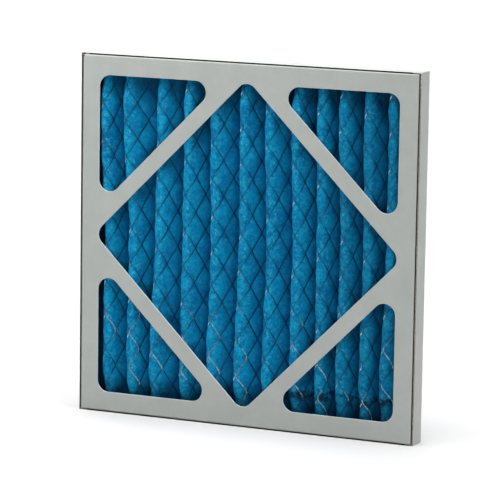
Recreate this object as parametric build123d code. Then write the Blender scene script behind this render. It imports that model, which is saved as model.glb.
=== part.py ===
from build123d import *
import math
import os

# Pleated panel air filter, in millimetres.
# It stands on its bottom edge, with the face that carries the metal grid towards -Y and +Z up.
# The origin is in the middle of the bottom edge. Two folded board trays telescope into one
# another, the front one inside the rear one, and hold a pleated pack of filter media between
# them. An expanded metal grid lies on the front of the media and is folded with it.

# The whole filter
filter_width = 292.1
filter_height = 292.1
filter_depth = 19.05

# Board trays
board = 0.8               # thickness of the board
fold_radius = 1.0         # outside of every fold
face_proud = 1.0          # the front face stands this far ahead of the rear tray's flanges
flange_gap = 0.4          # from the front tray's flanges to the rear tray's face
end_clearance = 0.4       # between the two trays at the top and bottom
slit = 0.1                # cut that frees each corner tab from the flange beside it
tab_length = 24.0         # glue tabs at the ends of the top and bottom flanges
tab_taper = 4.0
tab_setback = 0.6         # the tabs are this much shallower than their flange
corner_relief = 6.0       # length of flange beside a tab that is bent with it

# Windows: four triangles round a diamond, with straps between them
window_reach = 129.3      # from the middle of the face to the windows' outer edges
window_radius = 9.5
strap_width = 12.7

# Pleated media
media = 2.0               # thickness
crest_count = 12          # whole pleats that point forward
crest_radius = 3.2        # middle of the media, at the front folds
valley_radius = 1.8       # the same at the rear folds
crest_lean = 6.5          # from each rear fold to the front fold that follows it
pleat_drift = 8.2         # how far the middle pleats sit to the right of even spacing
pleat_gather = 3.7        # how much closer the right half is packed than the left half
pleat_sway = 1.5          # how much less the outer pleats drift, and how much more the middle ones
pack_gap = 0.3            # between the pack and the faces of the trays
flap_setback = 2.0        # the media's glued end flaps stop this far from the faces

# Expanded metal grid, folded over the front of the media
grid = 0.45               # thickness
grid_long_way = 57.2      # height of one diamond
grid_strand = 1.6         # width of a strand, measured up the sheet
laminate_gap = 0.05       # between grid and media

# Adhesive
end_adhesive = 1.2        # bead that the pleat ends are set in
side_slack = 0.05         # bead at the sides is this much thicker than a corner tab
seam_width = 9.0          # glue line between the two trays' flanges
seam_inset = 10.0         # each end of that line stops this far from the corner tabs

# What follows from those sizes
tab_room = board + slit                       # a tab and its slit, inside a side flange
side_clearance = tab_room + side_slack        # between the two trays' side flanges
front_width = filter_width - 2 * (board + side_clearance)
front_height = filter_height - 2 * (board + end_clearance)
front_depth = filter_depth - board - flange_gap
rear_depth = filter_depth - face_proud
front_y = -filter_depth / 2
rear_y = filter_depth / 2
middle_z = filter_height / 2
inside_front = front_y + board
inside_rear = rear_y - board
side_bead = tab_room + side_slack
pack_half = front_width / 2 - board - side_bead
pack_height = front_height - 2 * (board + end_adhesive)
diamond_reach = window_reach + window_radius * (math.sqrt(2) - 1)
triangle_reach = diamond_reach + strap_width * math.sqrt(2)
crest_y = inside_front + pack_gap + grid + laminate_gap + media / 2
valley_y = inside_rear - pack_gap - media / 2


def windows():
    """The five openings of a tray's face, as one sketch in the plane of the face."""
    side = diamond_reach
    diamond = Polygon((side, 0), (0, side), (-side, 0), (0, -side), align=None)
    openings = fillet(diamond.vertices(), window_radius)
    tip = triangle_reach - window_reach
    for left_right in (-1, 1):
        for up_down in (-1, 1):
            corner = (left_right * window_reach, up_down * window_reach)
            across = (left_right * tip, up_down * window_reach)
            along = (left_right * window_reach, up_down * tip)
            triangle = Polygon(corner, across, along, align=None)
            openings += fillet(triangle.vertices(), window_radius)
    return openings


def corner_tab(width, height, depth):
    """The end of a top flange, folded down inside the side flange, at the +X +Z corner."""
    edge_x = width / 2 - board - slit
    top_z = height / 2
    root_x = edge_x - corner_relief
    outline = Polygon(
        (root_x, top_z),
        (edge_x, top_z),
        (edge_x, top_z - tab_length),
        (edge_x - board, top_z - tab_length),
        (edge_x - board, top_z - board),
        (root_x, top_z - board),
        align=None,
    )
    fold = outline.vertices().sort_by_distance((edge_x, top_z))[0]
    outline = fillet(fold, fold_radius)
    inside = outline.vertices().sort_by_distance((edge_x - board, top_z - board))[0]
    outline = fillet(inside, fold_radius - board)
    tab = extrude(Plane.XZ * outline, depth - board - tab_setback, dir=(0, 1, 0))
    tab = Pos(0, board, 0) * tab
    lowest = tab.faces().sort_by(Axis.Z)[0]
    return chamfer(lowest.edges().filter_by(Axis.X), tab_taper)


def tray(width, height, depth):
    """One folded tray, with its face at Y = 0 and its flanges reaching to Y = depth."""
    sides = (Align.CENTER, Align.MIN, Align.CENTER)
    body = Box(width, depth, height, align=sides)
    body = fillet(body.faces().sort_by(Axis.Y)[0].edges(), fold_radius)
    hollow = Box(width - 2 * board, depth, height - 2 * board, align=sides)
    hollow = fillet(hollow.faces().sort_by(Axis.Y)[0].edges(), fold_radius - board)
    body -= Pos(0, board, 0) * hollow
    notch_width = corner_relief + slit
    notch = Box(notch_width, depth, 2 * board, align=sides)
    tab = corner_tab(width, height, depth)
    for left_right in (-1, 1):
        for up_down in (-1, 1):
            notch_x = left_right * (width / 2 - board - notch_width / 2)
            body -= Pos(notch_x, board, up_down * height / 2) * notch
    for mirrored in (tab, mirror(tab, Plane.YZ)):
        body += mirrored
        body += mirror(mirrored, Plane.XY)
    return body - extrude(Plane.XZ * windows(), board, both=True)


def front_tray():
    """The inner tray, whose face is on the side that carries the grid."""
    return Pos(0, front_y, middle_z) * tray(front_width, front_height, front_depth)


def rear_tray():
    """The outer tray, turned to face the other way."""
    return Pos(0, rear_y, middle_z) * (Rot(0, 0, 180) * tray(filter_width, filter_height, rear_depth))


def crest_x(number):
    """Where a front fold lies. Number 0 is the first whole pleat from the left."""
    share = (number + 1) / (crest_count + 1)
    even = (2 * share - 1) * pack_half
    drift = pleat_drift * math.sin(math.pi * share) - pleat_sway * math.sin(3 * math.pi * share)
    return even + drift - pleat_gather * math.sin(2 * math.pi * share)


def folds():
    """The centre of every fold in order from the left, with its radius and +1 at the front."""
    first = Vector(-pack_half + media / 2 + crest_radius, crest_y + crest_radius)
    last = Vector(pack_half - media / 2 - valley_radius, valley_y - valley_radius)
    result = [(first, crest_radius, 1)]
    for number in range(crest_count):
        x = crest_x(number)
        result.append((Vector(x - crest_lean, valley_y - valley_radius), valley_radius, -1))
        result.append((Vector(x, crest_y + crest_radius), crest_radius, 1))
    result.append((last, valley_radius, -1))
    return result


def flank_normals(centres):
    """The unit normal of each flank, towards the grid side, between two folds that it touches."""
    normals = []
    for (here, radius, _), (there, next_radius, _) in zip(centres, centres[1:]):
        line = there - here
        towards = math.atan2(line.Y, line.X)
        tilt = math.asin((radius + next_radius) / line.length)
        angle = towards + tilt if there.Y > here.Y else towards - tilt
        normals.append(Vector(math.sin(angle), -math.cos(angle)))
    return normals


def pleat_line(offset, first_normal, last_normal, centres):
    """Edges of the pleats' line, moved by offset towards the grid side."""
    normals = [first_normal] + flank_normals(centres) + [last_normal]
    edges = []
    previous = None
    for (centre, radius, side), before, after in zip(centres, normals, normals[1:]):
        reach = side * radius + offset
        start = centre + before * reach
        end = centre + after * reach
        middle = centre + (before + after).normalized() * reach
        if previous is not None:
            edges.append(Line(previous, start))
        edges.append(ThreePointArc(start, middle, end))
        previous = end
    return edges


def filter_media():
    """The media: one sheet folded into pleats, with a glued flap at each side."""
    centres = folds()
    left, right = Vector(-1, 0), Vector(-1, 0)
    front = pleat_line(media / 2, left, right, centres)
    back = pleat_line(-media / 2, left, right, centres)
    flap_rear = inside_rear - flap_setback
    flap_front = inside_front + flap_setback
    ends = []
    for edge, place, y in ((0, 0, flap_rear), (-1, 1, flap_front)):
        tips = []
        for side in (front, back):
            touch = side[edge] @ place
            tip = Vector(touch.X, y)
            ends.append(Line(touch, tip))
            tips.append(tip)
        ends.append(Line(*tips))
    section = make_face(front + back + ends)
    bottom = middle_z - pack_height / 2
    return Pos(0, 0, bottom) * extrude(section, pack_height)


def grid_gaps(centres):
    """The diamond gaps of the grid, seen from the front: one column on every fold line."""
    columns = [centre.X for centre, _, _ in centres]
    columns = [2 * columns[0] - columns[1]] + columns + [2 * columns[-1] - columns[-2]]
    half_gap = (grid_long_way - grid_strand) / 2
    reach = half_gap * 2 / grid_long_way
    rows = math.ceil(pack_height / grid_long_way) + 1
    gaps = []
    for number, x in enumerate(columns[1:-1]):
        left = x + (columns[number] - x) * reach
        right = x + (columns[number + 2] - x) * reach
        shift = number % 2 / 2
        for row in range(rows):
            z = (row - shift) * grid_long_way
            gaps.append(Polygon((x, z - half_gap), (right, z), (x, z + half_gap), (left, z), align=None))
    return Sketch() + gaps


def grid_line(offset, centres):
    """Corners of the grid's line: flat across each front fold, and cut short in each rear one."""
    ahead = Vector(0, -1)
    normals = [ahead] + flank_normals(centres) + [ahead]
    points = []
    for (centre, radius, side), before, after in zip(centres, normals, normals[1:]):
        reach = side * radius + offset
        if side < 0:
            points += [centre + before * reach, centre + after * reach]
            continue
        for normal in (before, after):
            points.append(centre + (normal + ahead) * (reach / (1 + normal.dot(ahead))))
    return points


def support_grid():
    """The expanded metal grid: a thin sheet that follows the pleats, cut through in diamonds."""
    centres = folds()
    lift = media / 2 + laminate_gap
    back = grid_line(lift, centres)
    front = grid_line(lift + grid, centres)
    section = make_face(Polyline(back + front[::-1], close=True))
    bottom = middle_z - pack_height / 2
    sheet = Pos(0, 0, bottom) * extrude(section, pack_height)
    gaps = extrude(Plane.XZ * grid_gaps(centres), filter_depth, both=True)
    return sheet - Pos(0, 0, bottom) * gaps


def end_adhesive_bead():
    """The bead that the upper pleat ends are set in, under the front tray's top flange."""
    length = front_width - 2 * (board + tab_room + board)
    depth = front_depth - board - fold_radius
    top = middle_z + front_height / 2 - board
    corner = (Align.CENTER, Align.MIN, Align.MAX)
    return Pos(0, inside_front + fold_radius, top) * Box(length, depth, end_adhesive, align=corner)


def side_adhesive_bead():
    """The bead between the right flange of the front tray and the media's end flap."""
    length = front_height - 2 * (tab_length + board)
    depth = inside_rear - inside_front - 2 * flap_setback
    place = (Align.MIN, Align.MIN, Align.CENTER)
    bead = Box(side_bead, depth, length, align=place)
    return Pos(pack_half, inside_front + flap_setback, middle_z) * bead


def end_seam():
    """The glue line between the top flanges of the two trays."""
    length = front_width - 2 * (corner_relief + tab_room + seam_inset)
    bottom = middle_z + front_height / 2
    place = (Align.CENTER, Align.CENTER, Align.MIN)
    return Pos(0, 0, bottom) * Box(length, seam_width, end_clearance, align=place)


def side_seam():
    """The glue line between the right flanges of the two trays."""
    length = filter_height - 2 * (tab_length + seam_inset)
    left = front_width / 2
    place = (Align.MIN, Align.CENTER, Align.CENTER)
    return Pos(left, 0, middle_z) * Box(side_clearance, seam_width, length, align=place)


def pair(name, solid, plane, first, second):
    """A piece and its mirror image, under their two names."""
    return {f"{name}_{first}": solid, f"{name}_{second}": mirror(solid, plane)}


def all_parts():
    """Every piece of the filter under its name."""
    level = Plane.XY.offset(middle_z)
    parts = {
        "front_tray": front_tray(),
        "rear_tray": rear_tray(),
        "filter_media": filter_media(),
        "support_grid": support_grid(),
    }
    parts |= pair("end_adhesive", end_adhesive_bead(), level, "top", "bottom")
    parts |= pair("side_adhesive", side_adhesive_bead(), Plane.YZ, "right", "left")
    parts |= pair("seam_adhesive", end_seam(), level, "top", "bottom")
    parts |= pair("seam_adhesive", side_seam(), Plane.YZ, "right", "left")
    return parts


os.makedirs("parts", exist_ok=True)
for part_name, solid in all_parts().items():
    export_step(solid, f"parts/{part_name}.step")
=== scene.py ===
"""Looks for the pleated panel air filter: media, grid, board and glue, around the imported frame."""

import math

import bpy
import numpy as np
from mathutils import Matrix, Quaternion, Vector, noise


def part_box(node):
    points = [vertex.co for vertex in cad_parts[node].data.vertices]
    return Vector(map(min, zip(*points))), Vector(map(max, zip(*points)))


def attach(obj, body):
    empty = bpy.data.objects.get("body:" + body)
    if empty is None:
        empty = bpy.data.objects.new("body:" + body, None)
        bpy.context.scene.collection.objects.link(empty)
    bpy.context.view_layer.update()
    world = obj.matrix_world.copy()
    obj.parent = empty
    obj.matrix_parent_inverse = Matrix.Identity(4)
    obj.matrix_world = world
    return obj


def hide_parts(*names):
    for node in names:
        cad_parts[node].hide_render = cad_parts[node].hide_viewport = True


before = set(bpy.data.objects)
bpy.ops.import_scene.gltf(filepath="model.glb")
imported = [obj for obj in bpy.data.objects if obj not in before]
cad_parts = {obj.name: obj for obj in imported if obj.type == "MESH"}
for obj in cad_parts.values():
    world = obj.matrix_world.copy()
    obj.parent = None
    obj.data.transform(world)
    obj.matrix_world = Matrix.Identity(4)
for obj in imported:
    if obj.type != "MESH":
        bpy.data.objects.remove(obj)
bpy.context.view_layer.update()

MM = 0.001

# ---------------------------------------------------------------- sizes, in millimetres

# From the frame
TRAY_LOW, TRAY_HIGH = (np.array(corner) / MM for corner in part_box("rear_tray"))
FRONT_LOW, FRONT_HIGH = (np.array(corner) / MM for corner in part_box("front_tray"))
MEDIA_LOW, MEDIA_HIGH = (np.array(corner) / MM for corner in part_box("filter_media"))
MIDDLE_Z = (TRAY_LOW[2] + TRAY_HIGH[2]) / 2
HALF_WIDTH = TRAY_HIGH[0]
HALF_HEIGHT = TRAY_HIGH[2] - MIDDLE_Z
RIM_Y = TRAY_LOW[1]  # where the rear tray's flanges end, just behind the front face

# Board, with the CAD's values
BOARD = 0.8
INSIDE_FRONT = FRONT_LOW[1] + BOARD
STRAP_MIDDLE = 142.2  # the straps run along |x| + |z| = this
WINDOW_REACH = 129.3

# Cut edges and fraying on the board, with painted highlight and painted shade
EDGE_ROUNDING = 0.7  # radius over which edges look rounded, and over which the painted highlight round the windows reaches
PALE_EDGE_FROM, PALE_EDGE_TO = 0.4, 1.0  # beyond a window's outer edge: all of the pale core and painted highlight, none
RIM_HALF = 0.1  # the rim's cut edge lies within this of RIM_Y
RIM_PALE_FROM, RIM_PALE_TO = 3.0, 2.0  # from the right side: the pale rim begins, is full
RIM_EDGE_FROM, RIM_EDGE_TO = 0.3, 0.2  # from the right side: its dark edge begins, is full
FRAY_FROM, FRAY_TO = 15.0, 11.0  # from the top: the frayed part begins, is full
CORNER_SHADE_SIZE = 3.0  # size of the painted shade at the top left corner

# Pleats, with the CAD's values
MEDIA = 2.0
CREST_COUNT = 12
CREST_RADIUS = 3.2
VALLEY_RADIUS = 1.8
CREST_LEAN = 6.5
PLEAT_DRIFT = 8.2
PLEAT_GATHER = 3.7
PLEAT_SWAY = 1.5
PACK_GAP = 0.3  # between the media and the rear tray
FLAP_SETBACK = 2.0  # the end flaps stop this far from both faces
PACK_HALF = MEDIA_HIGH[0]
PACK_HALF_HEIGHT = (MEDIA_HIGH[2] - MEDIA_LOW[2]) / 2
CREST_Y = MEDIA_LOW[1] + MEDIA / 2
VALLEY_Y = MEDIA_HIGH[1] - MEDIA / 2
FLAP_REAR = VALLEY_Y + MEDIA / 2 + PACK_GAP - FLAP_SETBACK
FLAP_FRONT = INSIDE_FRONT + FLAP_SETBACK

# How the pleats leave the CAD's straight ones, judged from the photograph's contours
TOP_LEAN = (-4.0, -6.0, 1.0, 0.5, -1.5, -0.5, -2.5, -2.0, -1.5, -3.0, -1.5, 0.0)  # of each pleat
BOTTOM_LEAN = (-0.5, -1.0, -4.0, -1.5, -2.0, -3.0, -2.0, -0.5, 0.0, -2.0, -1.5, -3.0)
LEAN_FROM, LEAN_TO = 5.0, 95.0  # a lean grows between these distances from the middle
WANDER = 0.5  # a slow unevenness drawn by chance, not measured
WANDER_WAVES = (120.0, 70.0, 45.0)
WANDER_SEED = 10
END_RECESS = 4.5  # how far the crests fall back behind the frame's top and bottom
RECESS_FROM, RECESS_TO = 110.0, 131.0

# Expanded metal: diamonds 28.6 high, with five half diamonds from one crest to the next. They are
# stretched to fit between uneven crests, 13.6 to 18.3 wide and 15.5 on average.
STEPS = 5
STEP_LENGTH = 7.8  # a half diamond before it is stretched
GRID_END = 1.5  # the grid stops at least this many half diamonds before the media's right end
HALF_ROW = 14.3
NODE_Z = 66.0  # above the middle: a node on the crest of pleat NODE_PLEAT
NODE_PLEAT = 3
ROW_RISE = 0.13  # how much the rows of diamonds climb with each half diamond
CLIMB_END = 130.0  # beyond this distance from the middle the climb fades out
STRAND_WIDTH = 0.7
STRAND = 0.4  # thickness of a strand
STRAND_LIFT = 1.25  # middle of a strand above the middle of the media
CREST_BOND = 3.4  # length of the joint where two strands meet on a crest
FLANK_BOND = 2.0  # the same on the flanks
STRAND_TWIST = 16  # degrees, to one side and the other in turn
STRAND_CLEAR = 0.03  # from the inside of the front tray
STRAND_FINE = 11  # rings to each half row
SUNK_MIDDLE, SUNK_WIDTH = 0.15, 0.45  # where it sinks in along a crest, in half diamonds

# Painted highlights and reflections on the steel, drawn by chance for each row of diamonds, with places
# in half diamonds from a crest
GLINT_SEED = 4
GLINT = 1.7  # above 1, so that its middle is fully bright
GLINT_MIDDLE, GLINT_WIDTH = -0.2, 0.1
GLINT_LUCK = 0.3  # rows with more luck than this have a glint
GLEAM_LEFT = (-0.1, 0.05)  # where a longer painted reflection begins and is full
GLEAM_RIGHT = (0.95, 1.1)  # where it begins to fade and ends
GLEAM_DEPTH = (45.0, 75.0)  # millimetres below the middle: none, all
GLEAM_RISING, RISING_LUCK = 0.25, 0.6  # how bright on strands that climb, and the luck it takes
GLEAM_FALLING, FALLING_LUCK = 0.55, 0.4

# Painted shade: shares of the shade colour, and where each begins and is full
SHADE_FINGERS = 0.62
SHADE_TOP = 0.6
SHADE_BOTTOM = 0.55
SHADE_STRAP = 0.5
SHADE_RIGHT = 0.3
SHADE_LEFT = 0.8
SHADE_FUZZ = 0.85  # how much of it the fuzzy crests escape
FINGERS_HEIGHT = (100, 122)  # above the middle
FINGERS_BESIDE = (7.0, 15.0)  # from a crest, at FINGERS_LEVEL
FINGERS_LEVEL = 106
FINGERS_TAPER = 0.42  # how much each side narrows with each millimetre downwards
TOP_SHADE = (108, 128)  # above the middle
BOTTOM_SHADE = (110, 128)  # below the middle
RIGHT_SHADE = (35, 115)  # right of the middle
LEFT_SHADE = (STEPS - 1.1, STEPS - 0.5)  # all to none, in half diamonds from the first fold
STRAP_NEAR, STRAP_FAR = 11, 24  # from a strap's middle: all, none
STRAP_FADE = (0, 12)  # above the middle, or below it: none, all

# The media's relief
PUFF = 1.0  # height between the strands
PUFF_ROUNDNESS = 0.55  # an exponent: lower is fuller
PUFF_LOW, PUFF_RANGE = 0.75, 0.5  # how the puffs differ in strength
HASH = (12.9898, 78.233, 43758.5453)  # scatters the strengths
GROOVE = 0.1  # how far the strands press in
WRINKLE_SIZE = 7.0
WRINKLE_SHARE = 0.35  # of a puff's height
WRINKLE = 0.12  # height, where there are no puffs
MEDIA_CLEAR = 0.06  # from the inside of the front tray
MEDIA_FINE = 6  # cells to each half diamond and half row
BACK_ROWS, BACK_COLUMNS = 3, 2  # cells of the front to each cell of the back
FUZZ_MIDDLE, FUZZ_WIDTH = 0.1, 0.55  # the fuzzy band along a crest, in half diamonds

# A dark band low on the right
LOW_BAND = (-118.0, -114.5)  # from the middle of the height
LOW_BAND_SOFT = 4.5  # how softly the band ends above and below
LOW_BAND_WAVE = 24.0  # how far the noise shifts it up and down
LOW_BAND_RIGHT = (12.0, 40.0)  # right of the middle: none, all
LOW_BAND_SHARE = 0.9  # of the band's colour

# Camera, fitted to the straight edges of the photograph's windows
CAMERA_AZIMUTH = 24.148
CAMERA_ELEVATION = 9.189
CAMERA_ROLL = 0.91
CAMERA_DISTANCE = 2473.7
CAMERA_TARGET = (0.656, 0.0, 142.07)
CAMERA_LENS = 224.44
SENSOR = 36.0

# Studio
WORLD_LIGHT = 0.02
FLOOR_HALF = 12000.0
FLOOR_LIGHT = (0.68, 0.68, 0.68, 1.0)  # what the floor throws back on the filter
FLOOR_SEEN = (0.545, 0.545, 0.545, 1.0)  # what the camera sees of it

# ---------------------------------------------------------------- colours


def srgb(red, green, blue):
    """A colour written as 0 to 255, as Blender's linear colour."""
    channels = []
    for value in (red, green, blue):
        share = value / 255
        channels.append(share / 12.92 if share <= 0.04045 else ((share + 0.055) / 1.055) ** 2.4)
    return (*channels, 1.0)


BOARD_DEEP = srgb(167, 172, 168)
BOARD_PALE = srgb(173, 177, 173)
BOARD_FLECK = srgb(158, 163, 157)
# Pale core of the cut board, made paler as painted highlight
CORE_AND_HIGHLIGHT_PALE = srgb(222, 238, 246)
CORE_AND_HIGHLIGHT_DULL = srgb(202, 218, 226)
RIM_PALE = srgb(176, 172, 154)
RIM_BROWN = srgb(128, 122, 102)
RIM_EDGE = srgb(66, 60, 48)
FRAY_DARK = srgb(40, 36, 28)
FRAY_PALE = srgb(214, 212, 202)
# Painted shade on the rear tray's rim
RIM_SHADE_BLACK = srgb(8, 7, 5)
RIM_SHADE_DARK = srgb(24, 20, 15)
# Painted shade in a corner of the rim
CORNER_SHADE = srgb(16, 15, 14)
# Painted shade in the slot between the trays
SLOT_SHADE = srgb(22, 20, 18)
MEDIA_DEEP = srgb(0, 104, 154)
MEDIA_PALE = srgb(0, 128, 175)
BLOTCH_PALE = srgb(6, 148, 190)
BLOTCH_DEEP = srgb(0, 86, 140)
# Paler crests: fibre fuzz and painted highlight
CREST_FUZZ_AND_HIGHLIGHT = srgb(24, 168, 200)
TUFT = srgb(150, 222, 230)
# Painted shade in the valleys
VALLEY_SHADE = srgb(0, 78, 142)
LOW_BAND_DARK = srgb(10, 26, 38)
SHADE = srgb(0, 20, 48)
STRAND_DEEP = srgb(0, 46, 80)
STRAND_PALE = srgb(0, 60, 96)
STRAND_SUNK = srgb(6, 112, 152)
STEEL_HIGHLIGHT_PALE = srgb(214, 244, 248)
STEEL_HIGHLIGHT_DULL = srgb(150, 188, 194)
GLUE_DEEP = srgb(214, 205, 178)
GLUE_PALE = srgb(228, 221, 198)

# ---------------------------------------------------------------- pleat geometry


def smooth(value, low, high):
    """0 below low, 1 above high, and a smooth step between."""
    share = np.clip((value - low) / (high - low), 0, 1)
    return share * share * (3 - 2 * share)


def crest_places():
    """Where the crests lie at mid height, as in the CAD."""
    share = np.arange(1, CREST_COUNT + 1) / (CREST_COUNT + 1)
    even = (2 * share - 1) * PACK_HALF
    drift = PLEAT_DRIFT * np.sin(np.pi * share) - PLEAT_SWAY * np.sin(3 * np.pi * share)
    return even + drift - PLEAT_GATHER * np.sin(2 * np.pi * share)


def wander(seed, heights, size):
    """A slow wave up the filter, different for each seed."""
    draw = np.random.default_rng(seed)
    total = np.zeros_like(heights)
    for length in WANDER_WAVES:
        total += draw.uniform(0.3, 1.0) * np.sin(2 * np.pi * heights / length + draw.uniform(0, 7))
    return size * total / 2


def fold_circles(heights):
    """Centres, radii and sides (+1 in front) of all folds, with the centres at each height."""
    leftmost = -PACK_HALF + MEDIA / 2 + CREST_RADIUS
    rightmost = PACK_HALF - MEDIA / 2 - VALLEY_RADIUS
    centres = [(np.full_like(heights, leftmost), CREST_Y + CREST_RADIUS)]
    sides = [1]
    for number, place in enumerate(crest_places()):
        x = place + wander(WANDER_SEED + number, heights, WANDER)
        x = x + TOP_LEAN[number] * smooth(heights, LEAN_FROM, LEAN_TO)
        x = x + BOTTOM_LEAN[number] * smooth(-heights, LEAN_FROM, LEAN_TO)
        centres.append((x - CREST_LEAN, VALLEY_Y - VALLEY_RADIUS))
        centres.append((x, CREST_Y + CREST_RADIUS))
        sides += [-1, 1]
    centres.append((np.full_like(heights, rightmost), VALLEY_Y - VALLEY_RADIUS))
    sides.append(-1)
    places = np.array([np.stack([x, np.full_like(heights, y)]) for x, y in centres])
    radii = [CREST_RADIUS if side > 0 else VALLEY_RADIUS for side in sides]
    return places, radii, sides


ARC_SAMPLES = 13  # points on each fold


def sheet_lines(heights):
    """The middle of the media at each height: points, normal angles and lengths along it.

    The last value says which of the points are the middles of crests.
    """
    places, radii, sides = fold_circles(heights)
    angles = [np.full_like(heights, -np.pi)]
    for here, there, radius, next_radius in zip(places, places[1:], radii, radii[1:]):
        line = there - here
        towards = np.arctan2(line[1], line[0])
        tilt = np.arcsin((radius + next_radius) / np.hypot(*line))
        turned = np.where(line[1] > 0, towards + tilt, towards - tilt)
        angles.append(turned - np.pi / 2)
    angles.append(np.full_like(heights, -np.pi))
    xs, ys, normals = [places[0][0] - CREST_RADIUS], [np.full_like(heights, FLAP_REAR)], [angles[0]]
    crest_marks = []
    for place, radius, side, before, after in zip(places, radii, sides, angles, angles[1:]):
        if side > 0:
            crest_marks.append(len(xs) + ARC_SAMPLES // 2)
        for share in np.linspace(0, 1, ARC_SAMPLES):
            angle = before + (after - before) * share
            xs.append(place[0] + side * radius * np.cos(angle))
            ys.append(place[1] + side * radius * np.sin(angle))
            normals.append(angle)
    xs.append(xs[-1])
    ys.append(np.full_like(heights, FLAP_FRONT))
    normals.append(normals[-1])
    xs, ys, normals = (np.array(values).T for values in (xs, ys, normals))
    steps = np.hypot(np.diff(xs, axis=1), np.diff(ys, axis=1))
    lengths = np.concatenate([np.zeros((len(heights), 1)), np.cumsum(steps, axis=1)], axis=1)
    return xs, ys, normals, lengths, crest_marks


class Surface:
    """The middle of the media over (across, up): half diamonds from the first fold, half rows."""

    def __init__(self, fine):
        lowest = (-PACK_HALF_HEIGHT - NODE_Z) / HALF_ROW
        highest = (PACK_HALF_HEIGHT - NODE_Z) / HALF_ROW
        sliver = 0.3  # no row stands nearer to an end than this share of a cell
        inner = np.arange(math.ceil(lowest * fine + sliver), math.floor(highest * fine - sliver) + 1)
        self.up = np.concatenate([[lowest], inner / fine, [highest]])
        self.level = NODE_Z + HALF_ROW * self.up
        xs, ys, normals, lengths, marks = sheet_lines(self.level)
        anchor_lengths = lengths[:, marks]
        self.flat_width = lengths[:, -1].mean()
        first = -anchor_lengths[:, 0].mean() / STEP_LENGTH
        last = STEPS * CREST_COUNT + (lengths[:, -1] - anchor_lengths[:, -1]).mean() / STEP_LENGTH
        inner = np.arange(math.ceil(first * fine), last * fine) / fine
        self.across = np.concatenate([[first], inner, [last]])
        anchors = np.concatenate([[first], STEPS * np.arange(CREST_COUNT + 1), [last]])
        shape = (len(self.up), len(self.across))
        self.x, self.y, self.angle = np.zeros(shape), np.zeros(shape), np.zeros(shape)
        for row in range(len(self.up)):
            ends = np.concatenate([[0], anchor_lengths[row], [lengths[row, -1]]])
            reach = np.interp(self.across, anchors, ends)
            self.x[row] = np.interp(reach, lengths[row], xs[row])
            self.y[row] = np.interp(reach, lengths[row], ys[row])
            self.angle[row] = np.interp(reach, lengths[row], normals[row])
        ends = smooth(np.abs(self.level), RECESS_FROM, RECESS_TO)[:, None]
        self.y += END_RECESS * ends * (VALLEY_Y - self.y) / (VALLEY_Y - CREST_Y)
        self.z = self.height(*np.meshgrid(self.across, self.level))

    @staticmethod
    def height(across, level):
        """Height above the middle. The rows climb to the right, but for the hidden ends."""
        fade = 1 - smooth(np.abs(level), CLIMB_END, PACK_HALF_HEIGHT)
        return level + fade * ROW_RISE * (across - STEPS * (NODE_PLEAT + 1))

    def at(self, across, up, offset):
        """Points that lie offset in front of the sheet's middle, and the normals there."""
        column = np.interp(across, self.across, np.arange(len(self.across)))
        row = np.interp(up, self.up, np.arange(len(self.up)))
        left = np.clip(column.astype(int), 0, len(self.across) - 2)
        low = np.clip(row.astype(int), 0, len(self.up) - 2)
        right_share, up_share = column - left, row - low

        def blend(grid):
            bottom = grid[low, left] * (1 - right_share) + grid[low, left + 1] * right_share
            top = grid[low + 1, left] * (1 - right_share) + grid[low + 1, left + 1] * right_share
            return bottom * (1 - up_share) + top * up_share

        angle = blend(self.angle)
        normal = np.stack([np.cos(angle), np.sin(angle), np.zeros_like(angle)], axis=-1)
        point = np.stack([blend(self.x), blend(self.y), blend(self.z) + MIDDLE_Z], axis=-1)
        return point + normal * np.asarray(offset)[..., None], normal


def diamond_shares(across, up):
    """Place in the net of diamonds: one of the two is a whole number along each strand."""
    rising, falling = (across + up) / 2, (across - up) / 2
    return rising, falling


def puff_height(across, up):
    """How far the media swells out between the strands."""
    rising, falling = diamond_shares(across, up)
    share_r, share_f = rising % 1, falling % 1
    pillow = (4 * share_r * (1 - share_r) * 4 * share_f * (1 - share_f)) ** PUFF_ROUNDNESS
    hashed = np.sin(np.floor(rising) * HASH[0] + np.floor(falling) * HASH[1]) * HASH[2]
    strength = PUFF_LOW + PUFF_RANGE * (hashed % 1)
    return PUFF * strength * pillow - GROOVE


def new_object(name, vertices, faces, smooth_shading=True):
    """A mesh object from points in millimetres."""
    mesh = bpy.data.meshes.new(name)
    mesh.from_pydata((np.asarray(vertices) * MM).tolist(), [], faces)
    mesh.validate()
    if smooth_shading:
        mesh.polygons.foreach_set("use_smooth", [True] * len(mesh.polygons))
    made = bpy.data.objects.new(name, mesh)
    bpy.context.scene.collection.objects.link(made)
    return made


def write_attribute(made, name, values):
    """A number for each point of a mesh, for its material to read."""
    attribute = made.data.attributes.new(name, "FLOAT", "POINT")
    attribute.data.foreach_set("value", np.asarray(values, dtype=np.float32))


def from_crest(across):
    """Distance from the nearest crest, in half diamonds, positive to its right."""
    return across - STEPS * np.round(across / STEPS)


def crease_noise(points, scale, seed):
    """Smooth noise at each point, from -1 to 1."""
    shift = Vector((seed * 17.3, seed * 5.1, seed * 9.7))
    return np.array([noise.noise(Vector(point) / scale + shift) for point in points])


def sheet_triangles(rows, columns, leaning):
    """Two triangles for each cell, split along the strands that it lies nearest to."""
    faces = []
    for row in range(rows - 1):
        for column in range(columns - 1):
            a = row * columns + column
            b, c, d = a + 1, a + 1 + columns, a + columns
            if leaning[row, column]:
                faces += [(a, b, c), (a, c, d)]
            else:
                faces += [(a, b, d), (b, c, d)]
    return faces


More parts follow.
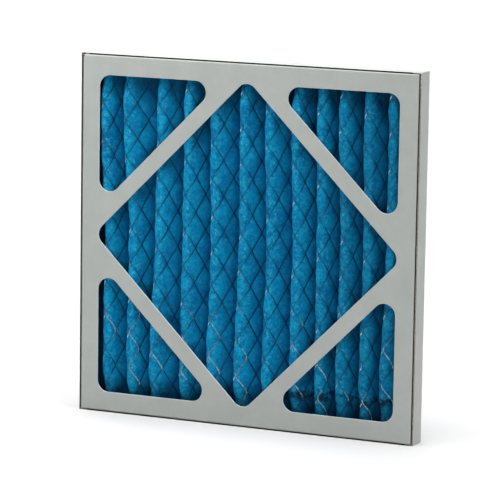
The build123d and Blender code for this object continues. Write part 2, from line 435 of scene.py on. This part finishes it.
def depth_of_shade(across, front, fuzz):
    """Share of the shade colour in the media's own, from 0 to 1.

    It stands for shadow that the photograph shows. It is painted on, so it stays put under other
    light: beside the top and bottom borders, along the straps, at the right and left of the pleats.
    """
    x, z = front[..., 0], front[..., 2] - MIDDLE_Z
    from_middle = np.abs(x) + np.abs(z)
    under_strap = smooth(from_middle, STRAP_MIDDLE - STRAP_FAR, STRAP_MIDDLE - STRAP_NEAR)
    under_strap = under_strap * smooth(z, *STRAP_FADE)
    under_strap = np.where(from_middle < STRAP_MIDDLE, under_strap, 0)
    below_strap = 1 - smooth(from_middle, STRAP_MIDDLE + STRAP_NEAR, STRAP_MIDDLE + STRAP_FAR)
    below_strap = below_strap * smooth(-z, *STRAP_FADE)
    below_strap = np.where(from_middle > STRAP_MIDDLE, below_strap, 0)
    # Dark fingers hang between the crests from the top border and narrow downwards
    beside = np.abs(from_crest(across)) * STEP_LENGTH + FINGERS_TAPER * (z - FINGERS_LEVEL)
    fingers = SHADE_FINGERS * smooth(beside, *FINGERS_BESIDE) * smooth(z, *FINGERS_HEIGHT)
    ends = np.maximum(SHADE_TOP * smooth(z, *TOP_SHADE), SHADE_BOTTOM * smooth(-z, *BOTTOM_SHADE))
    straps = SHADE_STRAP * np.maximum(under_strap, below_strap)
    shade = np.maximum(ends, straps) * (1 - SHADE_FUZZ * fuzz)
    shade = np.maximum(shade, fingers)
    shade = shade + SHADE_RIGHT * smooth(x, *RIGHT_SHADE) * (1 - shade)
    left_of_pleats = SHADE_LEFT * (1 - smooth(across, *LEFT_SHADE))
    return np.maximum(shade, left_of_pleats)


def build_media(surface):
    """The folded media: its front puffs out between the strands, its back is smooth."""
    across, up = np.meshgrid(surface.across, surface.up)
    on_grid = (across > 0) & (across < surface.across[-1] - 1)
    lift = np.where(on_grid, puff_height(across, up), 0)
    flat_front, _ = surface.at(across, up, np.full(across.shape, MEDIA / 2))
    wrinkle = crease_noise(flat_front.reshape(-1, 3), WRINKLE_SIZE, 1).reshape(across.shape)
    lift = lift * (1 + WRINKLE_SHARE * wrinkle) + WRINKLE * wrinkle
    front, _ = surface.at(across, up, MEDIA / 2 + lift)
    front[..., 1] = np.maximum(front[..., 1], INSIDE_FRONT + MEDIA_CLEAR)
    back, _ = surface.at(across, up, np.full(across.shape, -MEDIA / 2))
    faces, back_points = media_faces(surface, back)
    points = np.concatenate([front.reshape(-1, 3), np.array(back_points)])
    made = new_object("pleated_media", points, faces)
    beside = from_crest(across)
    fuzz = np.exp(-(((beside - FUZZ_MIDDLE) / FUZZ_WIDTH) ** 2))
    shade = depth_of_shade(across, front, fuzz)
    for name, values in (("fuzz", fuzz), ("shade", shade), ("front", np.ones_like(fuzz))):
        write_attribute(made, name, np.concatenate([values.reshape(-1), np.zeros(len(back_points))]))
    return made


def media_faces(surface, back):
    """Faces of the media's fine front, its coarse back and the four rims that join them."""
    rows, columns = len(surface.up), len(surface.across)
    cell_across = (surface.across[:-1] + surface.across[1:]) / 2
    cell_up = (surface.up[:-1] + surface.up[1:]) / 2
    rising, falling = diamond_shares(*np.meshgrid(cell_across, cell_up))
    near_rising = np.abs(rising - np.round(rising))
    near_falling = np.abs(falling - np.round(falling))
    faces = sheet_triangles(rows, columns, near_falling < near_rising)
    count = rows * columns
    coarse_rows = sorted({*range(0, rows, BACK_ROWS), rows - 1})
    coarse_columns = sorted({*range(0, columns, BACK_COLUMNS), columns - 1})
    back_ids = {}
    back_points = []
    for row in coarse_rows:
        for column in coarse_columns:
            back_ids[row, column] = count + len(back_points)
            back_points.append(back[row, column])
    for low, high in zip(coarse_rows, coarse_rows[1:]):
        for left, right in zip(coarse_columns, coarse_columns[1:]):
            corners = ((low, left), (high, left), (high, right), (low, right))
            faces.append(tuple(back_ids[corner] for corner in corners))
    for row, flip in ((0, False), (rows - 1, True)):
        for left, right in zip(coarse_columns, coarse_columns[1:]):
            rim = [row * columns + column for column in range(left, right + 1)]
            ring = [back_ids[row, left], back_ids[row, right], *reversed(rim)]
            faces.append(ring[::-1] if flip else ring)
    for column, flip in ((0, True), (columns - 1, False)):
        for low, high in zip(coarse_rows, coarse_rows[1:]):
            rim = [row * columns + column for row in range(low, high + 1)]
            ring = [back_ids[low, column], back_ids[high, column], *reversed(rim)]
            faces.append(ring[::-1] if flip else ring)
    return faces, back_points


def half_bond(column):
    """Half the length of the joints in a column, in half rows."""
    bond = CREST_BOND if column % STEPS == 0 else FLANK_BOND
    return bond / 2 / HALF_ROW


def zigzag(up, first):
    """Where strand number first runs at height up: between two columns of nodes, with flat joints."""
    phase = (up + first) / 2
    sweep = 1 - np.abs((phase % 1) * 2 - 1)  # 0 at a left joint, 1 at a right joint
    left, right = half_bond(first), half_bond(first + 1)
    sweep = np.clip((sweep - left) / (1 - left - right), 0, 1)
    margin = STRAND_WIDTH / 2 / STEP_LENGTH
    return first + margin + (1 - 2 * margin) * sweep


def steel_highlights(across, up, draw):
    """Where a strand gets painted light: short glints on the crests, and longer painted reflections low
    down.
    """
    beside = from_crest(across)
    rows = np.floor((up + 0.5) / 2).astype(int)
    luck = draw.uniform(0.0, 1.0, rows.max() - rows.min() + 1)[rows - rows.min()]
    level = NODE_Z + HALF_ROW * up
    rising = np.gradient(across) > 0
    glint = GLINT * np.exp(-(((beside - GLINT_MIDDLE) / GLINT_WIDTH) ** 2))
    glint = glint * (luck > GLINT_LUCK) * rising
    # Painted reflections on the strands low down
    near = smooth(beside, *GLEAM_LEFT) * (1 - smooth(beside, *GLEAM_RIGHT))
    on_rising = GLEAM_RISING * (luck > RISING_LUCK)
    on_falling = GLEAM_FALLING * (luck > FALLING_LUCK)
    gleam = smooth(-level, *GLEAM_DEPTH) * near * np.where(rising, on_rising, on_falling)
    return np.clip(glint + gleam, 0, 1)


def build_grid(surface):
    """The expanded metal: one zigzag strand between each two columns of joints."""
    lowest, highest = surface.up[0], surface.up[-1]
    inner = np.arange(math.ceil(lowest * STRAND_FINE), highest * STRAND_FINE) / STRAND_FINE
    up = np.concatenate([[lowest], inner, [highest]])
    points, faces, bright, sunk = [], [], [], []
    strands = int(surface.across[-1] - GRID_END)
    draw = np.random.default_rng(GLINT_SEED)
    for strand in range(strands):
        across = zigzag(up, strand)
        centre, normal = surface.at(across, up, np.full(up.shape, STRAND_LIFT))
        along = np.gradient(centre, axis=0)
        along /= np.linalg.norm(along, axis=1, keepdims=True)
        side = np.cross(along, normal)
        side /= np.linalg.norm(side, axis=1, keepdims=True)
        lift = np.cross(side, along)
        twist = np.radians(STRAND_TWIST) * np.where((strand % 2) == 0, 1, -1)
        wide = side * math.cos(twist) + lift * math.sin(twist)
        tall = -side * math.sin(twist) + lift * math.cos(twist)
        start = len(points)
        bright += np.repeat(steel_highlights(across, up, draw), 4).tolist()
        along_crest = np.exp(-(((from_crest(across) - SUNK_MIDDLE) / SUNK_WIDTH) ** 2))
        sunk += np.repeat(along_crest, 4).tolist()
        for middle, w, t in zip(centre, wide, tall):
            for across_sign, up_sign in ((-1, -1), (1, -1), (1, 1), (-1, 1)):
                corner = middle + w * across_sign * STRAND_WIDTH / 2 + t * up_sign * STRAND / 2
                corner[1] = max(corner[1], INSIDE_FRONT + STRAND_CLEAR)
                points.append(corner)
        for ring in range(len(up) - 1):
            for corner in range(4):
                a = start + ring * 4 + corner
                b = start + ring * 4 + (corner + 1) % 4
                faces.append((a, b, b + 4, a + 4))
        faces.append((start, start + 3, start + 2, start + 1))
        end = start + (len(up) - 1) * 4
        faces.append((end, end + 1, end + 2, end + 3))
    made = new_object("expanded_metal", np.array(points), faces, smooth_shading=False)
    write_attribute(made, "steel_highlight", bright)
    write_attribute(made, "sunk", sunk)
    return made


# ---------------------------------------------------------------- materials


class Shader:
    """A material and short calls that add nodes to it."""

    def __init__(self, name):
        self.material = bpy.data.materials.new(name)
        self.material.use_nodes = True
        self.nodes = self.material.node_tree.nodes
        self.links = self.material.node_tree.links
        self.surface = self.nodes["Principled BSDF"]

    def feed(self, socket, value):
        """Sets a socket to a constant, or links it."""
        if isinstance(value, bpy.types.NodeSocket):
            self.links.new(value, socket)
        elif value is not None:
            socket.default_value = value

    def add(self, kind, inputs=(), **settings):
        """A node with its settings and inputs."""
        node = self.nodes.new(kind)
        for key, value in settings.items():
            setattr(node, key, value)
        for key, value in dict(inputs).items():
            self.feed(node.inputs[key], value)
        return node

    def math(self, operation, first, second=0.0):
        """One step of arithmetic."""
        return self.add("ShaderNodeMath", {0: first, 1: second}, operation=operation).outputs[0]

    def mix(self, factor, first, second):
        """The first colour where factor is 0, the second where it is 1."""
        inputs = {"Factor": factor, "A": first, "B": second}
        node = self.add("ShaderNodeMix", data_type="RGBA")
        for name, value in inputs.items():
            self.feed(node.inputs[name], value)
        return node.outputs["Result"]

    def attribute(self, name):
        """A number that write_attribute gave the mesh."""
        return self.add("ShaderNodeAttribute", attribute_name=name).outputs["Fac"]

    def place(self):
        """Position on the object."""
        return self.add("ShaderNodeTexCoord").outputs["Object"]

    def split(self, vector):
        """The x, y and z of a vector."""
        node = self.add("ShaderNodeSeparateXYZ", {0: vector})
        return node.outputs["X"], node.outputs["Y"], node.outputs["Z"]

    def millimetres(self, place):
        """x, y and the height above the filter's middle, in millimetres."""
        x, y, z = (self.math("DIVIDE", axis, MM) for axis in self.split(place))
        return x, y, self.math("SUBTRACT", z, MIDDLE_Z)

    def scaled(self, vector, scale):
        """A place stretched along each axis."""
        return self.add("ShaderNodeMapping", {"Vector": vector, "Scale": scale}).outputs[0]

    def turned(self, vector, degrees, scale):
        """Turned about Y and then scaled, for streaks that run askew."""
        inputs = {"Vector": vector, "Angle": math.radians(degrees)}
        turn = self.add("ShaderNodeVectorRotate", inputs, rotation_type="Y_AXIS")
        return self.scaled(turn.outputs[0], scale)

    def noise(self, vector, scale, detail=3.0, roughness=0.55, distortion=0.0):
        """Cloudy noise, mostly near 0.5. A larger scale makes it finer."""
        inputs = {"Vector": vector, "Scale": scale, "Detail": detail, "Roughness": roughness}
        inputs["Distortion"] = distortion
        return self.add("ShaderNodeTexNoise", inputs).outputs[0]

    def step(self, value, low, high, to_low=0.0, to_high=1.0):
        """A smooth step of value from low to high."""
        inputs = {"Value": value, "From Min": low, "From Max": high, "To Min": to_low, "To Max": to_high}
        return self.add("ShaderNodeMapRange", inputs, interpolation_type="SMOOTHSTEP").outputs[0]

    def bump(self, height, distance, strength=1.0, normal=None):
        """A normal that looks raised by height. The distance is in metres."""
        inputs = {"Height": height, "Distance": distance, "Strength": strength}
        node = self.add("ShaderNodeBump", inputs)
        if normal is not None:
            self.links.new(normal, node.inputs["Normal"])
        return node.outputs["Normal"]


def between(shader, value, low, high, soft=0.05):
    """1 where value lies between low and high, in millimetres."""
    rising = shader.step(value, low - soft, low)
    falling = shader.step(value, high, high + soft, 1.0, 0.0)
    return shader.math("MULTIPLY", rising, falling)


def board_material():
    """Coated board: pale grey, nearly matt, and pale where it is cut, with painted highlight round the
    windows and painted shade on the rim, at a corner and in the slot.
    """
    shader = Shader("coated_board")
    place = shader.place()
    x, y, z = shader.millimetres(place)
    normal = shader.add("ShaderNodeNewGeometry").outputs["True Normal"]
    facing_y = shader.split(normal)[1]
    forward = shader.step(facing_y, -0.9, -0.6, 1.0, 0.0)  # 1 where a face looks forward
    mottle = shader.noise(place, 60.0, 4.0)
    fine = shader.noise(place, 900.0, 3.0)
    base = shader.mix(shader.step(mottle, 0.3, 0.7), BOARD_DEEP, BOARD_PALE)
    base = shader.mix(shader.step(fine, 0.35, 0.75, 0.0, 0.25), base, BOARD_FLECK)
    # The cut faces round the windows show the board's pale core, made paler as painted highlight, and a
    # painted highlight runs along the windows' edges
    sideways = shader.step(shader.math("ABSOLUTE", facing_y), 0.3, 0.6, 1.0, 0.0)
    wide = shader.math("MAXIMUM", shader.math("ABSOLUTE", x), shader.math("ABSOLUTE", z))
    inner = shader.step(wide, WINDOW_REACH + PALE_EDGE_FROM, WINDOW_REACH + PALE_EDGE_TO, 1.0, 0.0)
    cut = shader.math("MULTIPLY", sideways, inner)
    core_and_highlight = shader.mix(shader.step(fine, 0.4, 0.7), CORE_AND_HIGHLIGHT_PALE, CORE_AND_HIGHLIGHT_DULL)
    rounded = shader.add("ShaderNodeBevel", {"Radius": EDGE_ROUNDING * MM}, samples=8).outputs[0]
    both = {0: rounded, 1: normal}
    bend = shader.add("ShaderNodeVectorMath", both, operation="DOT_PRODUCT").outputs["Value"]
    # Painted highlight along the windows' rounded edges
    highlight_mask = shader.math("MULTIPLY", shader.step(bend, 0.99, 0.86, 0.0, 0.75), inner)
    base = shader.mix(shader.math("MAXIMUM", cut, highlight_mask), base, core_and_highlight)
    # The rear tray's rim is cut board, raw at the right and darkened by painted shade on the other sides
    rim = shader.math("MULTIPLY", between(shader, y, RIM_Y - RIM_HALF, RIM_Y + RIM_HALF), forward)
    right = shader.step(x, HALF_WIDTH - RIM_PALE_FROM, HALF_WIDTH - RIM_PALE_TO)
    raw = shader.mix(shader.step(fine, 0.35, 0.7), RIM_PALE, RIM_BROWN)
    last_edge = shader.step(x, HALF_WIDTH - RIM_EDGE_FROM, HALF_WIDTH - RIM_EDGE_TO)
    raw = shader.mix(last_edge, raw, RIM_EDGE)
    frayed = shader.step(shader.noise(place, 1300.0, 2.0), 0.44, 0.54)
    frayed = shader.mix(frayed, FRAY_DARK, FRAY_PALE)
    near_top = shader.step(z, HALF_HEIGHT - FRAY_FROM, HALF_HEIGHT - FRAY_TO)
    raw = shader.mix(near_top, raw, frayed)
    # Painted shade: the rim nearly black, but for the right side
    dark = shader.mix(shader.step(mottle, 0.35, 0.65), RIM_SHADE_BLACK, RIM_SHADE_DARK)
    base = shader.mix(rim, base, shader.mix(right, dark, raw))
    # Painted shade: the corner of the rim at the top left is dark
    corner_x = shader.math("ABSOLUTE", shader.math("SUBTRACT", x, TRAY_LOW[0]))
    corner_z = shader.math("ABSOLUTE", shader.math("SUBTRACT", z, HALF_HEIGHT))
    from_corner = shader.math("MAXIMUM", corner_x, corner_z)
    corner = shader.step(from_corner, CORNER_SHADE_SIZE - 0.1, CORNER_SHADE_SIZE + 0.1, 1.0, 0.0)
    corner = shader.math("MULTIPLY", corner, forward)
    corner = shader.math("MULTIPLY", corner, shader.step(y, RIM_Y + 1.0, RIM_Y + 2.0, 1.0, 0.0))
    base = shader.mix(corner, base, CORNER_SHADE)
    # Painted shade darkens the slot between the two trays
    outside = shader.step(wide, FRONT_HIGH[0] - 0.3, FRONT_HIGH[0] - 0.1)
    inside = HALF_WIDTH - BOARD
    hidden = shader.step(wide, inside - 0.06, inside - 0.01, 1.0, 0.0)
    hidden = shader.math("MULTIPLY", outside, hidden)
    deep = shader.step(y, RIM_Y - 0.6, RIM_Y + 0.4)
    base = shader.mix(shader.math("MULTIPLY", hidden, deep), base, SLOT_SHADE)
    shader.feed(shader.surface.inputs["Base Color"], base)
    shader.surface.inputs["Roughness"].default_value = 0.6
    shader.surface.inputs["Specular IOR Level"].default_value = 0.2
    shader.feed(shader.surface.inputs["Normal"], shader.bump(fine, 0.00006, 0.5, rounded))
    return shader.material


def media_material():
    """Blue non-woven media: matte and fibrous, with paler tufts and painted highlight along the crests,
    painted shade in the valleys and where the shade attribute says, and a dark band low on the right.
    """
    shader = Shader("blue_media")
    place = shader.place()
    x, y, z = shader.millimetres(place)
    fuzz = shader.attribute("fuzz")
    cloud = shader.noise(place, 55.0, 4.0, 0.6)
    blotch = shader.noise(place, 300.0, 4.0, 0.65, 0.8)
    long_and_thin = (1500.0, 700.0, 260.0)
    rising = shader.noise(shader.turned(place, 35.0, long_and_thin), 1.0, 2.0, 0.6, 0.6)
    falling = shader.noise(shader.turned(place, -40.0, long_and_thin), 1.0, 2.0, 0.6, 0.6)
    fibres = shader.math("MAXIMUM", rising, falling)
    base = shader.mix(shader.step(cloud, 0.35, 0.65), MEDIA_DEEP, MEDIA_PALE)
    base = shader.mix(shader.step(blotch, 0.45, 0.7, 0.0, 0.6), base, BLOTCH_PALE)
    base = shader.mix(shader.step(blotch, 0.5, 0.28, 0.0, 0.6), base, BLOTCH_DEEP)
    share = shader.math("ADD", shader.math("MULTIPLY", fuzz, 0.45), 0.1)
    share = shader.math("MULTIPLY", share, shader.step(blotch, 0.42, 0.6))
    tufts = shader.math("MULTIPLY", shader.step(fibres, 0.6, 0.74), share)
    # Crests paler: fibre fuzz, and painted highlight where light falls most
    on_crests = shader.math("MULTIPLY", fuzz, shader.step(blotch, 0.4, 0.62, 0.0, 0.35))
    base = shader.mix(on_crests, base, CREST_FUZZ_AND_HIGHLIGHT)
    base = shader.mix(tufts, base, TUFT)
    # Painted shade: darker and bluer towards the valleys
    base = shader.mix(shader.step(y, CREST_Y + 4.0, CREST_Y + 15.0, 0.0, 0.6), base, VALLEY_SHADE)
    # A dark, broken band low on the right, on the front of the media
    wave = shader.math("MULTIPLY", shader.math("SUBTRACT", blotch, 0.5), LOW_BAND_WAVE)
    band = between(shader, shader.math("ADD", z, wave), *LOW_BAND, LOW_BAND_SOFT)
    band = shader.math("MULTIPLY", band, shader.step(x, *LOW_BAND_RIGHT, 0.0, LOW_BAND_SHARE))
    broken = shader.step(shader.noise(place, 120.0, 3.0), 0.4, 0.58, 0.12, 1.0)
    band = shader.math("MULTIPLY", band, broken)
    band = shader.math("MULTIPLY", band, shader.attribute("front"))
    base = shader.mix(band, base, LOW_BAND_DARK)
    base = shader.mix(shader.attribute("shade"), base, SHADE)
    shader.feed(shader.surface.inputs["Base Color"], base)
    shader.surface.inputs["Roughness"].default_value = 0.8
    shader.surface.inputs["Specular IOR Level"].default_value = 0.08
    rough = shader.bump(blotch, 0.0007, 0.6)
    shader.feed(shader.surface.inputs["Normal"], shader.bump(fibres, 0.0003, 0.6, rough))
    return shader.material


def strand_material():
    """Steel in dark blue, partly a painted reflection of its surroundings, sunk in the fuzz on the
    crests, with painted highlights and reflections where the attribute says.
    """
    shader = Shader("expanded_steel")
    place = shader.place()
    patch = shader.noise(place, 90.0, 3.0)
    speckle = shader.noise(place, 500.0, 2.0)
    # Dark blue: partly a painted reflection of dark surroundings
    base = shader.mix(shader.step(patch, 0.35, 0.65), STRAND_DEEP, STRAND_PALE)
    buried = shader.step(speckle, 0.3, 0.6, 0.3, 0.85)
    buried = shader.math("MULTIPLY", shader.attribute("sunk"), buried)
    base = shader.mix(buried, base, STRAND_SUNK)
    # Painted highlights and reflections in pale steel
    steel = shader.mix(shader.step(speckle, 0.4, 0.6), STEEL_HIGHLIGHT_PALE, STEEL_HIGHLIGHT_DULL)
    highlight_mask = shader.step(speckle, 0.36, 0.56, 1.0, 0.55)
    steel_highlight = shader.math("MULTIPLY", shader.attribute("steel_highlight"), highlight_mask)
    base = shader.mix(steel_highlight, base, steel)
    shader.feed(shader.surface.inputs["Base Color"], base)
    shader.surface.inputs["Roughness"].default_value = 0.6
    shader.surface.inputs["Specular IOR Level"].default_value = 0.15
    return shader.material


def glue_material():
    """Cream glue, slightly lumpy and slightly shiny."""
    shader = Shader("cream_glue")
    place = shader.place()
    lumps = shader.noise(place, 140.0, 3.0)
    base = shader.mix(shader.step(lumps, 0.35, 0.7), GLUE_DEEP, GLUE_PALE)
    shader.feed(shader.surface.inputs["Base Color"], base)
    shader.surface.inputs["Roughness"].default_value = 0.4
    shader.feed(shader.surface.inputs["Normal"], shader.bump(lumps, 0.0006))
    return shader.material


def floor_material():
    """A pale floor that looks nearly white where it is fully lit, and keeps the shadow.

    The camera and mirror-like paths see one colour, and the light that it throws back has another.
    """
    shader = Shader("pale_floor")
    path = shader.add("ShaderNodeLightPath")
    seen = shader.math("MAXIMUM", path.outputs["Is Camera Ray"], path.outputs["Is Glossy Ray"])
    seen = shader.math("MAXIMUM", seen, path.outputs["Is Transmission Ray"])
    shader.feed(shader.surface.inputs["Base Color"], shader.mix(seen, FLOOR_LIGHT, FLOOR_SEEN))
    shader.surface.inputs["Roughness"].default_value = 0.9
    shader.surface.inputs["Specular IOR Level"].default_value = 0.0
    return shader.material


def paint(made, material):
    """Gives an object one material."""
    made.data.materials.clear()
    made.data.materials.append(material)


# ---------------------------------------------------------------- light, floor and camera


def add_sun(name, azimuth, elevation, strength, angle):
    """A soft, far lamp. Azimuth 0 shines from -Y, 90 from +X."""
    lamp = bpy.data.lights.new(name, "SUN")
    lamp.energy = strength
    lamp.angle = math.radians(angle)
    made = bpy.data.objects.new(name, lamp)
    turn, rise = math.radians(azimuth), math.radians(elevation)
    source = Vector((math.sin(turn) * math.cos(rise), -math.cos(turn) * math.cos(rise), math.sin(rise)))
    made.rotation_euler = source.to_track_quat("Z", "Y").to_euler()
    bpy.context.scene.collection.objects.link(made)


def add_softbox(name, place, size, power):
    """A square lamp near the filter, aimed at its middle."""
    lamp = bpy.data.lights.new(name, "AREA")
    lamp.energy = power
    lamp.size = size * MM
    made = bpy.data.objects.new(name, lamp)
    made.location = Vector(place) * MM
    towards = Vector((0, 0, MIDDLE_Z)) - Vector(place)
    made.rotation_euler = towards.to_track_quat("-Z", "Y").to_euler()
    bpy.context.scene.collection.objects.link(made)


def add_world(strength):
    """White for the camera, in reflections and through glass, and faint as a light."""
    world = bpy.data.worlds.new("studio")
    world.use_nodes = True
    nodes, links = world.node_tree.nodes, world.node_tree.links
    background = nodes["Background"]
    background.inputs["Color"].default_value = (1, 1, 1, 1)
    path = nodes.new("ShaderNodeLightPath")
    seen = path.outputs["Is Camera Ray"]
    for kind in ("Is Glossy Ray", "Is Transmission Ray"):
        either = nodes.new("ShaderNodeMath")
        either.operation = "MAXIMUM"
        links.new(seen, either.inputs[0])
        links.new(path.outputs[kind], either.inputs[1])
        seen = either.outputs[0]
    level = nodes.new("ShaderNodeMapRange")
    level.inputs["To Min"].default_value = strength
    level.inputs["To Max"].default_value = 1.0
    links.new(seen, level.inputs["Value"])
    links.new(level.outputs[0], background.inputs["Strength"])
    bpy.context.scene.world = world


def add_floor(material):
    """A wide floor under the filter."""
    signs = ((-1, -1), (1, -1), (1, 1), (-1, 1))
    corners = [(FLOOR_HALF * along_x, FLOOR_HALF * along_y, 0) for along_x, along_y in signs]
    floor = new_object("floor", corners, [(0, 1, 2, 3)])
    paint(floor, material)


def add_camera():
    """The camera at the photograph's place."""
    data = bpy.data.cameras.new("camera")
    data.sensor_width = SENSOR
    data.lens = CAMERA_LENS
    data.clip_end = 100.0
    camera = bpy.data.objects.new("camera", data)
    turn, rise = math.radians(CAMERA_AZIMUTH), math.radians(CAMERA_ELEVATION)
    back = Vector((math.sin(turn) * math.cos(rise), -math.cos(turn) * math.cos(rise), math.sin(rise)))
    camera.location = (Vector(CAMERA_TARGET) + back * CAMERA_DISTANCE) * MM
    aim = (-back).to_track_quat("-Z", "Y")
    camera.rotation_mode = "QUATERNION"
    camera.rotation_quaternion = aim @ Quaternion((0, 0, 1), math.radians(CAMERA_ROLL))
    bpy.context.scene.collection.objects.link(camera)
    bpy.context.scene.camera = camera


# ---------------------------------------------------------------- build


def main():
    """Paints the frame, and adds the media, the grid and the studio."""
    board = board_material()
    glue = glue_material()
    for name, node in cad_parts.items():
        if name.endswith("_tray"):
            paint(node, board)
        elif "adhesive" in name:
            paint(node, glue)
    surface = Surface(MEDIA_FINE)
    media = build_media(surface)
    paint(media, media_material())
    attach(media, "root")
    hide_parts("filter_media")
    grid = build_grid(surface)
    paint(grid, strand_material())
    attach(grid, "root")
    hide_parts("support_grid")
    add_floor(floor_material())
    add_world(WORLD_LIGHT)
    add_sun("overhead", azimuth=0, elevation=85, strength=4.6, angle=40)
    add_sun("behind", azimuth=220, elevation=40, strength=1.0, angle=60)
    add_sun("right", azimuth=80, elevation=50, strength=0.95, angle=40)
    add_softbox("key", place=(-200.0, -230.0, 520.0), size=300.0, power=0.62)
    add_camera()
    bpy.context.scene.view_settings.view_transform = "Standard"


main()
